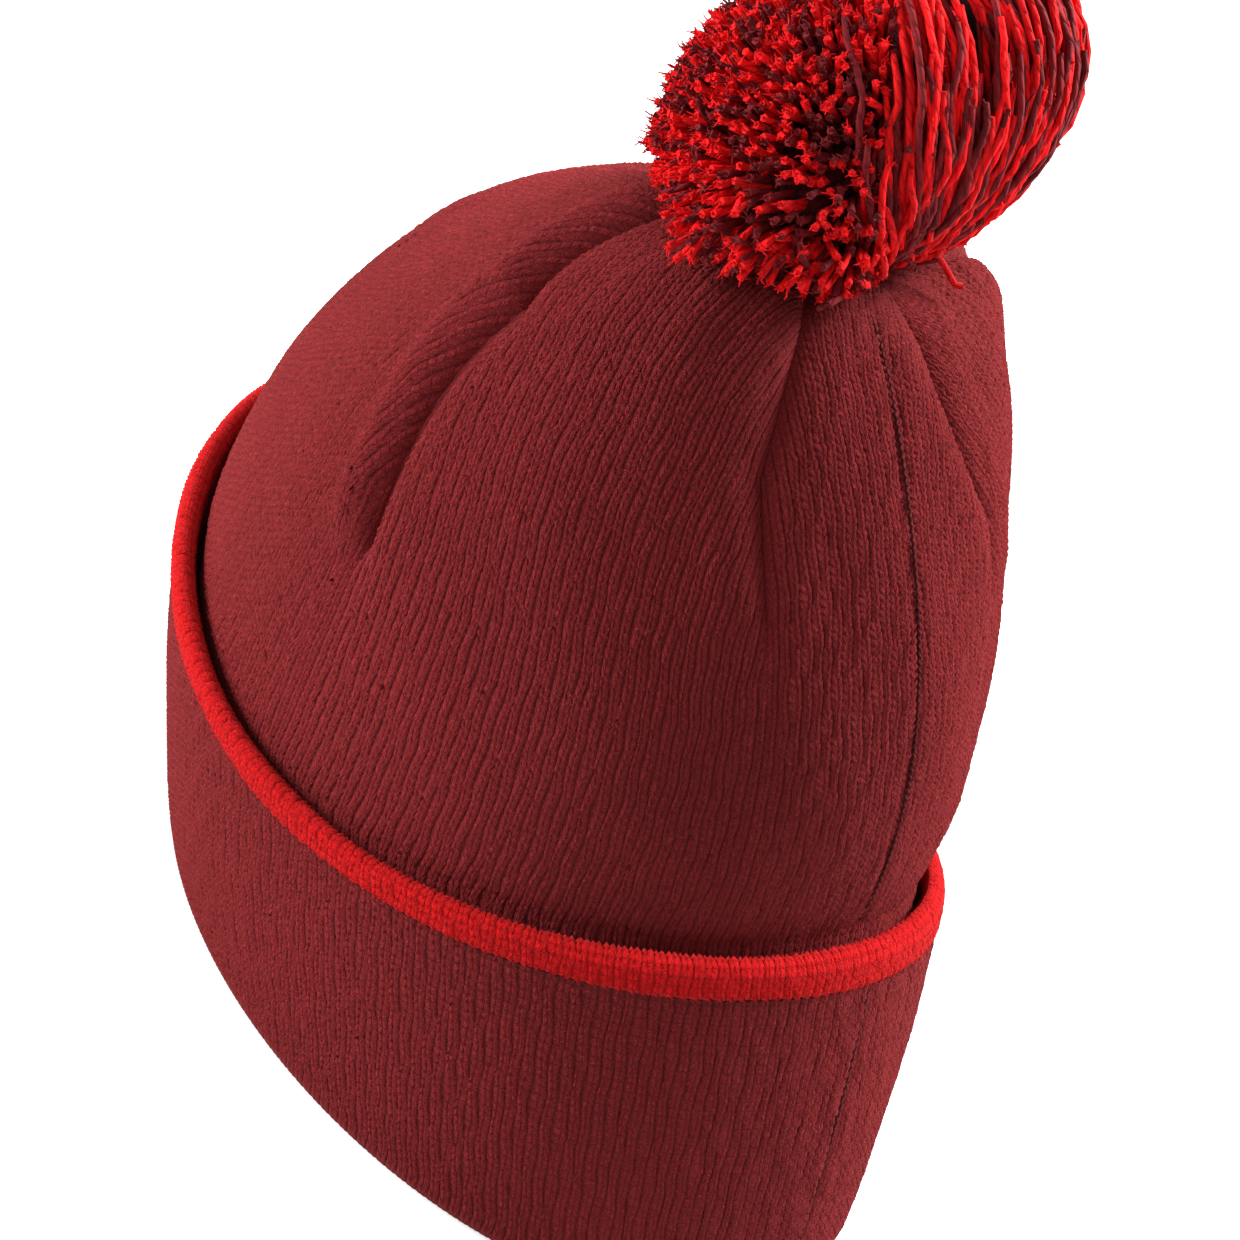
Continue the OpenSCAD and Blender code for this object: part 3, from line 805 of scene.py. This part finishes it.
chain_turns = np.arange(CUFF_WALES * 2) * 180 / CUFF_WALES
chain_up = -TIPPING_HEIGHT - 0.5 + zigzag(len(chain_turns), 0.45)
back_level = np.arange(0.01, 0.955, 0.5 * CROWN_COURSE / CROWN_RUN)
cuff_level = np.arange(0.03, cuff_end - 0.01, 0.5 * CUFF_COURSE / CUFF_HEIGHT)
for name, node, line, radius, closed in (
        ("linking_chain", "linking_thread",
         wall_point(chain_turns, 1 + chain_up / CUFF_HEIGHT, 0.1), 0.3, True),
        ("crown_seam_stitches", "crown_seam_thread",
         knit_point(zigzag(len(back_level), 0.22), back_level, 0.15), 0.38, False),
        ("cuff_seam_stitches", "cuff_seam_thread",
         wall_point(zigzag(len(cuff_level), 0.2), cuff_level, 0.2), 0.38, False)):
    dressed(swept(name, [line], radius, 6, seam_thread, closed), seam_thread, "hat",
            "seam_thread", node)


def ridged_material(name, groove_shade_colour, pale, direction, ridges, distortion, bump, values):
    """Fine ridges that cross a piece, with a darker colour painted in the grooves as shade and a
    paler one on top.
    """
    material, tree = new_material(name)
    wave = tree.nodes.new("ShaderNodeTexWave")
    wave.bands_direction = direction
    wave.inputs["Scale"].default_value = ridges
    wave.inputs["Distortion"].default_value = distortion
    tree.links.new(tree.nodes.new("ShaderNodeTexCoord").outputs["Object"], wave.inputs["Vector"])
    relief = wave.outputs["Fac"]
    # The wave that gives the relief also paints the grooves darker, as shade.
    finish_surface(tree, mixed(tree, relief, groove_shade_colour, pale), relief, bump, values)
    return material


def plain_thread(name, colour, ridges):
    """Thread or cord on a CAD piece, in one colour, with painted shade in its grooves."""
    # The painted shade in the grooves is the thread's colour at 0.35 of its brightness.
    groove_shade_colour = tuple(x * 0.35 for x in colour[:3]) + (1.0,)
    return ridged_material(name, groove_shade_colour, colour, "DIAGONAL", ridges, 3.0, (0.6, 0.0005),
                           {"Roughness": 0.85, "Specular IOR Level": 0.2})


linked_thread = plain_thread("linked_seam_thread", srgb(96, 22, 27), 260.0)
tie_cord = plain_thread("tie_cord", srgb(120, 24, 28), 180.0)
# The linked seams, the gathering thread, the cord, its knots and the binding keep the shapes that
# they have in the frame.
for node, piece in frame["nodes"].items():
    thread = None
    if node.startswith("dart_seam") or node in ("back_seam_ridge", "gather_thread"):
        thread = linked_thread
    elif node in ("anchor_cord", "anchor_knot", "tie_knot", "pompom_binding"):
        thread = tie_cord
    if thread:
        piece.data.materials.clear()
        piece.data.materials.append(thread)


# ---- Pom pom ----
# A thick tuft of bright red and dark red yarn, tied at its foot and cut to a ball that flops to
# the front. Its cut ends face left and forward, and on the right its strands are combed along it.
rng = np.random.default_rng(7)
joints = {joint["name"]: joint for joint in frame["joints"]}
tie = np.array(joints["pompom_nod"]["pos_m"]) / MM
# The ball is longest from low on the wearer's left to high on the right.
ball_middle = tie + np.array([2.0, -16.0, 23.5])
ball_axes = np.array([[-31.2, 9.0, 33.9], [8.3, -28.0, 15.1], [25.3, 17.5, 18.6]])
to_ball = np.linalg.inv(ball_axes)
combed_to = np.array([-0.70, 0.59, 0.39])
drooping_to = np.array([0.72, 0.40, -0.62]) @ to_ball
drooping_to /= np.linalg.norm(drooping_to)
# A map of how high the crown stands, in squares, with the gathered hole filled to near its rim.
SQUARE, SQUARES, HOLE_REACH, HOLE_DEPTH = 2.0, 120, 9, 1.5


def squares_at(points):
    """The squares of the map of the crown's height that points stand over."""
    places = (points[:, :2] + SQUARE * SQUARES / 2) / SQUARE
    return tuple(np.clip(places.astype(int), 0, SQUARES - 1).T)


crown_points = np.array([vertex.co for vertex in crown_top.data.vertices]) / MM
crown_heights = np.full((SQUARES, SQUARES), -1000.0)
np.maximum.at(crown_heights, squares_at(crown_points), crown_points[:, 2])
middles = (np.arange(SQUARES) + 0.5) * SQUARE - SQUARE * SQUARES / 2
over_hole = np.hypot(middles[:, None] - tie[0], middles[None] - tie[1]) < HOLE_REACH
crown_heights[over_hole] = np.maximum(crown_heights[over_hole], tie[2] - HOLE_DEPTH)


def joint_turns(name):
    """A joint's turns at its two limits and at rest."""
    low, high = joints[name]["range_deg"]
    return np.radians((low, 0, high))


swings = []
for nod in joint_turns("pompom_nod"):
    for sway in joint_turns("pompom_sway"):
        c, s = math.cos(nod), math.sin(nod)
        nodded = np.array([[1, 0, 0], [0, c, -s], [0, s, c]])
        c, s = math.cos(sway), math.sin(sway)
        swings.append(nodded @ np.array([[c, 0, s], [0, 1, 0], [-s, 0, c]]))
swings = np.array(swings)


def even_directions(count):
    """Directions spread evenly over a sphere, with a little play."""
    k = np.arange(count) + 0.5
    polar = np.arccos(1 - 2 * k / count)
    turn = math.pi * (1 + 5 ** 0.5) * k
    spread = np.stack(
        [np.cos(turn) * np.sin(polar), np.sin(turn) * np.sin(polar), np.cos(polar)], -1)
    spread += rng.normal(0, 0.02, spread.shape)
    return spread / np.linalg.norm(spread, axis=1, keepdims=True)


def on_ball(direction, share, drooping=1.0):
    """A point of the ball in one direction from its middle, at a share of its reach."""
    droop = 0.4 * drooping * math.exp(-((1 - direction @ drooping_to) / 0.16) ** 2)
    return ball_middle + direction @ ball_axes * share * (1 + droop)


def above_crown(point, clearance):
    """The point, raised where it would come too close to the crown at any nod and sway."""
    swung = swings @ (point - tie) + tie
    short = crown_heights[squares_at(swung)] + clearance - swung[:, 2]
    return point + np.array([0, 0, max(0.0, short.max())])


def bezier(a, b, c, d, steps):
    """Points along a bent strand."""
    s = np.linspace(0, 1, steps)[:, None]
    return a * (1 - s) ** 3 + 3 * b * s * (1 - s) ** 2 + 3 * c * s * s * (1 - s) + d * s ** 3


CUT_COUNT, COMBED_COUNT, CLUMPS = 5200, 2600, 90
CUT_RADIUS, COMBED_RADIUS, FIBRE_RADIUS = 0.72, 0.78, 0.2
# How far the pieces keep above the crown, and how near to the tie a strand may end.
END_CLEAR, START_CLEAR, CUT_CLEAR, COMBED_CLEAR = 1.4, 2.2, 1.7, 2.0
FIBRE_CLEAR, HEART_CLEAR, LOOSE_CLEAR = 0.5, 4.5, 1.6
CUT_NEAREST, COMBED_NEAREST = 17, 12
RED_SHARE = 0.6
cut_strands, combed_strands = [], []
foot = (tie - ball_middle) @ to_ball
foot_share = np.linalg.norm(foot)
foot = foot / foot_share


def on_far_end(direction, end):
    """Whether a strand ends at the far end of the ball, where its cut ends show."""
    return direction @ foot < -0.75 and (end - tie) @ combed_to < 14


for direction in even_directions(CUT_COUNT):
    end = on_ball(direction, rng.uniform(0.93, 1.04))
    if np.linalg.norm(end - tie) < CUT_NEAREST or (
            (end - tie) @ combed_to > -1 + rng.normal(0, 2) and not on_far_end(direction, end)):
        continue
    end = above_crown(end, END_CLEAR + rng.uniform(0, 1.8))
    way = (end - tie) / np.linalg.norm(end - tie)
    outward = direction @ ball_axes
    outward = outward / np.linalg.norm(outward) * 0.5 + way * 0.5
    start = end - outward * rng.uniform(13, 17) + rng.normal(0, 1.2, 3)
    start = above_crown(start, START_CLEAR)
    bend = np.cross(way, rng.normal(0, 1, 3)) * rng.uniform(0, 2.5)
    middle = (start + end) / 2 + bend
    line = bezier(start, (start + middle) / 2, (end + middle) / 2 + bend * 0.3, end, 5)
    cut_strands.append(np.array([above_crown(point, CUT_CLEAR) for point in line]))
clump_way = even_directions(CLUMPS)
for direction in even_directions(COMBED_COUNT):
    end = on_ball(direction, 1.0)
    along_crown = direction @ foot > 0.5 and direction @ drooping_to > 0.6
    if np.linalg.norm(end - tie) < COMBED_NEAREST or (
            (end - tie) @ combed_to < -2 + rng.normal(0, 2) and not along_crown):
        continue
    if on_far_end(direction, end):
        continue
    clump = clump_way[np.argmax(clump_way @ direction)]
    direction = direction + (clump - direction) * rng.uniform(0.1, 0.6)
    direction /= np.linalg.norm(direction)
    reach = rng.uniform(0.78, 1.04)
    swing = math.acos(np.clip(foot @ direction, -1, 1))
    sway = np.cross(direction, foot) * rng.normal(0, 0.05)
    line, crimp = [], rng.uniform(0, 6.3, 2)
    last = rng.uniform(0.6, 1.0) if rng.random() < 0.4 else 1.0
    for s in np.linspace(0, last, 15):
        towards = math.sin((1 - s) * swing) * foot + math.sin(s * swing) * direction
        towards = towards / math.sin(swing) + sway * math.sin(math.pi * s)
        share = foot_share + (reach - foot_share) * min(1.0, s / 0.5) ** 0.7
        point = on_ball(towards / np.linalg.norm(towards), share, s ** 2) + rng.normal(0, 0.2, 3)
        point = point + 0.55 * np.sin(crimp[0] + 17 * s) * combed_to
        point[1] += 0.5 * math.sin(crimp[1] + 23 * s)
        line.append(above_crown(point, COMBED_CLEAR))
    line[0] = tie + np.array([0, 0, 4.5]) + rng.normal(0, 1.8, 3)
    combed_strands.append(np.array(line))
pom_red = strand_material("pompom_red_yarn", srgb(234, 10, 16), 260.0, 0.35)
pom_maroon = strand_material("pompom_maroon_yarn", srgb(110, 13, 20), 260.0, 0.35)
for kind, strands, radius, swell, fibre_count in (
        ("ends", cut_strands, CUT_RADIUS, (0.8, 1.2), 4),
        ("strands", combed_strands, COMBED_RADIUS, (1.0, 0.8), 6)):
    is_red = rng.random(len(strands)) < RED_SHARE
    for colour, material, chosen in (("red", pom_red, is_red), ("maroon", pom_maroon, ~is_red)):
        name = "pompom_" + colour + "_" + kind
        lines = [s for s, own in zip(strands, chosen) if own]
        # The cut ends fray into single fibres, and fibres stand off the combed strands.
        fibres = []
        for line in lines:
            way = (line[-1] - line[-2]) / np.linalg.norm(line[-1] - line[-2])
            for _ in range(fibre_count):
                at = line[-1] if kind == "ends" else line[rng.integers(4, len(line))]
                out = way * rng.uniform(0.2, 0.8) + rng.normal(0, 0.5, 3)
                ends = [at - way * 0.8, at + out * 0.8, at + out * 1.4 + rng.normal(0, 0.3, 3)]
                fibres.append(np.array([above_crown(point, FIBRE_CLEAR) for point in ends]))
        tuft = swept(name, lines, radius, 5, material, swell=swell)
        fray = swept(name + "_fray", fibres, FIBRE_RADIUS, 3, material, swell=(1.0, 0.5))
        for piece in (tuft, fray):
            dressed(piece, material, "pompom", colour + "_yarn", "pompom_" + colour + "_yarn")


def closed_piece(name, points, faces):
    """A closed piece from points in mm, with its faces turned outwards."""
    mesh = bpy.data.meshes.new(name)
    mesh.from_pydata((np.asarray(points) * MM).tolist(), [], faces)
    shell = bmesh.new()
    shell.from_mesh(mesh)
    bmesh.ops.recalc_face_normals(shell, faces=shell.faces)
    shell.to_mesh(mesh)
    shell.free()
    return new_object(name, mesh)


# Its heart, where the strands lie too close to be told apart: a mass from the tie outwards, painted
# very dark as the shade deep among the strands.
RINGS, SIDES = 20, 40
ways = [-np.eye(3)[2]]
for step in range(1, RINGS):
    for side in range(SIDES):
        polar, turn_at = math.pi * (1 - step / RINGS), 2 * math.pi * side / SIDES
        ways.append(np.array([
            math.sin(polar) * math.cos(turn_at), math.sin(polar) * math.sin(turn_at),
            math.cos(polar)]))
ways.append(np.eye(3)[2])
heart = []
for way in ways:
    share = 0.80 + 0.02 * math.sin(7 * way[0] + 9 * way[2])
    open_side = smooth((on_ball(way, share) - tie) @ combed_to, -6.0, 8.0)
    point = on_ball(way, share - 0.12 * float(open_side))
    heart.append(above_crown(point, HEART_CLEAR - 2 * float(open_side)))
last = len(heart) - 1
heart_faces = []
for side in range(SIDES):
    beside = (side + 1) % SIDES
    heart_faces.append((0, 1 + beside, 1 + side))
    heart_faces.append((last, last - SIDES + side, last - SIDES + beside))
    for first in range(1, last - SIDES, SIDES):
        a, b = first + side, first + beside
        heart_faces.append((a, b, b + SIDES, a + SIDES))
heart_piece = closed_piece("pompom_heart", heart, heart_faces)
heart_piece.data.polygons.foreach_set("use_smooth", [True] * len(heart_faces))
# The heart's very dark colour is painted shade, for the depths among the strands.
heart_shade_yarn = plain_thread("pompom_heart_shade", srgb(66, 2, 5), 900.0)
dressed(heart_piece, heart_shade_yarn, "pompom", "maroon_yarn")

# One strand has come loose and lies on the crown behind the pom pom.
loose = bezier(tie + np.array([-1, 4, 5]), tie + np.array([-5, 9, 9]),
               tie + np.array([-9, 13, 5]), tie + np.array([-13, 17, -0.5]), 12)
loose = np.array([above_crown(point, LOOSE_CLEAR) for point in loose])
loose_strand = swept("loose_strand", [loose], 0.75, 6, pom_red)
dressed(loose_strand, pom_red, "pompom", "red_yarn")


# ---- Motif ----
# A plain snowflake in red satin stitch on the front of the cuff: thread laid to and fro across
# each arm, close together, over a little padding.
motif_red = strand_material("motif_thread", srgb(190, 18, 26), 700.0, 0.35, sheen=0.6)
# How far up the cuff its middle is, and how many mm there make a radian of turn and the whole
# way up.
MOTIF_LEVEL, MOTIF_ROUND, MOTIF_TALL = 0.47, 83.871, 92.0
ARM, ARM_WIDTH, TWIG_WIDTH, TWIG_ANGLE = 16.5, 2.4, 1.9, 55
TWIGS = ((7.0, 5.0), (11.5, 4.0))
motif_lines = []


def motif_point(x, y, lift):
    """A point of the motif, x across and y up from its middle, laid on the front of the cuff."""
    turn = 180 + np.degrees(np.asarray(x) / MOTIF_ROUND)
    return wall_point(turn, MOTIF_LEVEL + np.asarray(y) / MOTIF_TALL, -lift)


def satin(a, b, width):
    """One bar of satin stitch from a to b, as a thread laid to and fro."""
    a, b = np.asarray(a, float), np.asarray(b, float)
    way = (b - a) / np.linalg.norm(b - a)
    side = np.array([-way[1], way[0]])
    count = int(np.linalg.norm(b - a) / 0.3)
    line = []
    for k in range(count + 1):
        at = a + (b - a) * k / count
        sign = 1 if k % 2 else -1
        edge = at + side * sign * width / 2
        line.append(motif_point(edge[0], edge[1], 0.25))
        middle = at + way * 0.15
        line.append(motif_point(middle[0], middle[1], 0.85))
    motif_lines.append(np.array(line))


def heading(angle):
    """A direction across the motif, at an angle in degrees."""
    return np.array([math.cos(math.radians(angle)), math.sin(math.radians(angle))])


for arm in range(30, 390, 60):
    way = heading(arm)
    satin(way, way * ARM, ARM_WIDTH)
    for at, size in TWIGS:
        for side in (-1, 1):
            satin(way * at, way * at + heading(arm + side * TWIG_ANGLE) * size, TWIG_WIDTH)
motif = swept("snowflake_stitches", motif_lines, 0.24, 4, motif_red)
dressed(motif, motif_red, "hat", "red_embroidery", "front_motif")


# ---- Label ----
# A blank folded tape label, sewn by its top edge to the back seam inside the hat.
label_low, label_high = (np.array(c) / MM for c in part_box("care_label"))
TAPE_ROWS, TAPE_COLUMNS, TAPE_BOW = 12, 8, 0.9
tape_points = []
for face_y, order in ((label_low[1], range(TAPE_ROWS + 1)),
                      (label_high[1], range(TAPE_ROWS, -1, -1))):
    for k in order:
        s = k / TAPE_ROWS
        z = label_high[2] + (label_low[2] - label_high[2]) * s
        for c in range(TAPE_COLUMNS + 1):
            x = label_low[0] + (label_high[0] - label_low[0]) * c / TAPE_COLUMNS
            tape_points.append((x, face_y - TAPE_BOW * s * s + 0.3 * math.sin(c * 0.8) * s, z))
row = TAPE_COLUMNS + 1
round_tape = 2 * (TAPE_ROWS + 1)
tape_faces = []
for r in range(round_tape):
    below = (r + 1) % round_tape * row
    tape_faces.extend((r * row + c, r * row + c + 1, below + c + 1, below + c)
                      for c in range(TAPE_COLUMNS))
for k in range(TAPE_ROWS):
    a, b = k * row, (k + 1) * row
    far_a, far_b = (round_tape - 1 - k) * row, (round_tape - 2 - k) * row
    tape_faces.append((a, b, far_b, far_a))
    tape_faces.append(tuple(corner + TAPE_COLUMNS for corner in (a, far_a, far_b, b)))
label = closed_piece("care_label_tape", tape_points, tape_faces)
# Its fine ridges, with painted shade in their grooves.
tape = ridged_material("label_tape", srgb(214, 209, 198), srgb(240, 237, 229), "Z", 700.0, 0.6,
                       (0.3, 0.0002), {"Roughness": 0.6})
dressed(label, tape, "label", "label_tape", "care_label")

# The stitches that hold it, in a row.
stitch_low, stitch_high = (np.array(c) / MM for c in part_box("label_stitching"))
stitch_z = (stitch_low[2] + stitch_high[2]) / 2
stitch_y = (stitch_low[1] + stitch_high[1]) / 2
dashes = []
for x in np.linspace(stitch_low[0] + 1, stitch_high[0] - 1, 9):
    dashes.append(np.array([[x - 0.9, stitch_y, stitch_z], [x, stitch_y - 0.2, stitch_z],
                            [x + 0.9, stitch_y, stitch_z]]))
label_sewing = swept("label_sewing", dashes, 0.3, 6, seam_thread)
dressed(label_sewing, seam_thread, "hat", "seam_thread", "label_stitching")


# ---- Stage ----
# A pale floor and plain soft light. The floor and the backdrop read white to the camera, and the
# floor keeps the beanie's soft shadow.
scene = bpy.context.scene
scene.view_settings.view_transform = "Standard"
floor_mesh = bpy.data.meshes.new("floor")
floor_mesh.from_pydata([(-6, -6, 0), (6, -6, 0), (6, 6, 0), (-6, 6, 0)], [], [(0, 1, 2, 3)])
floor = new_object("floor", floor_mesh)
FLOOR_GLOW, AMBIENT = 0.62, 0.43


def seen(tree):
    """1 where a ray comes from the camera, straight or through a mirror or glass, and else 0."""
    rays = tree.nodes.new("ShaderNodeLightPath").outputs
    straight, mirrored, through = (
        Wire(tree, rays["Is " + kind + " Ray"]) for kind in ("Camera", "Glossy", "Transmission"))
    return straight.maths("MAXIMUM", mirrored).maths("MAXIMUM", through)


paper, tree = new_material("pale_floor")
shader = tree.nodes["Principled BSDF"]
shader.inputs["Base Color"].default_value = (0.62, 0.62, 0.62, 1)
shader.inputs["Roughness"].default_value = 0.9
glow = tree.nodes.new("ShaderNodeEmission")
glow.inputs["Color"].default_value = (1, 1, 1, 1)
both = tree.nodes.new("ShaderNodeAddShader")
tree.links.new((seen(tree) * FLOOR_GLOW).socket, glow.inputs["Strength"])
tree.links.new(shader.outputs[0], both.inputs[0])
tree.links.new(glow.outputs[0], both.inputs[1])
tree.links.new(both.outputs[0], tree.nodes["Material Output"].inputs["Surface"])
floor_mesh.materials.append(paper)

world = bpy.data.worlds.new("studio")
scene.world = world
world.use_nodes = True
backdrop = world.node_tree.nodes["Background"].inputs
backdrop["Color"].default_value = (1, 1, 1, 1)
strength = seen(world.node_tree) * (1 - AMBIENT) + AMBIENT
world.node_tree.links.new(strength.socket, backdrop["Strength"])

# The camera, from behind on the wearer's left and above, rolled as a hand would hold it.
TURN, HEIGHT, ROLL = math.radians(124.7), math.radians(31.2), math.radians(27.3)
DISTANCE, LENS, SHIFT = 0.559, 68.844, (-0.0083, 0.0081)
aim = np.array([0, 0, 0.1])
back = np.array([
    math.sin(TURN) * math.cos(HEIGHT), -math.cos(TURN) * math.cos(HEIGHT), math.sin(HEIGHT)])
right = np.cross(-back, [0, 0, 1])
right /= np.linalg.norm(right)
up = np.cross(right, -back)
right, up = (right * math.cos(ROLL) + up * math.sin(ROLL),
             up * math.cos(ROLL) - right * math.sin(ROLL))
camera_data = bpy.data.cameras.new("camera")
camera_data.sensor_width = 36
camera_data.lens = LENS
camera_data.shift_x, camera_data.shift_y = SHIFT
camera_data.clip_start = 0.01
camera = new_object("camera", camera_data)
turned = Matrix((right, up, back)).transposed().to_4x4()
camera.matrix_world = Matrix.Translation(Vector(aim + back * DISTANCE)) @ turned
scene.camera = camera


def lamp(name, way, distance, size, power):
    """A square soft light, aimed at the middle of the beanie from a way in the camera's frame."""
    data = bpy.data.lights.new(name, "AREA")
    data.size, data.energy = size, power
    light = new_object(name, data)
    place = right * way[0] + up * way[1] + back * way[2]
    place = place / np.linalg.norm(place)
    light.location = Vector(np.array([0, 0, 0.12]) + place * distance)
    light.rotation_euler = Vector(place).to_track_quat("Z", "Y").to_euler()


lamp("key_light", (-1.0, 0.6, 0.35), 1.3, 0.6, 30.0)
lamp("side_light", (1.0, 0.7, 0.05), 1.3, 0.6, 46.0)
lamp("fill_light", (0.3, 0.2, 1.0), 1.6, 0.8, 3.0)
lamp("top_light", (0.1, 1.0, -0.3), 1.4, 0.8, 5.0)
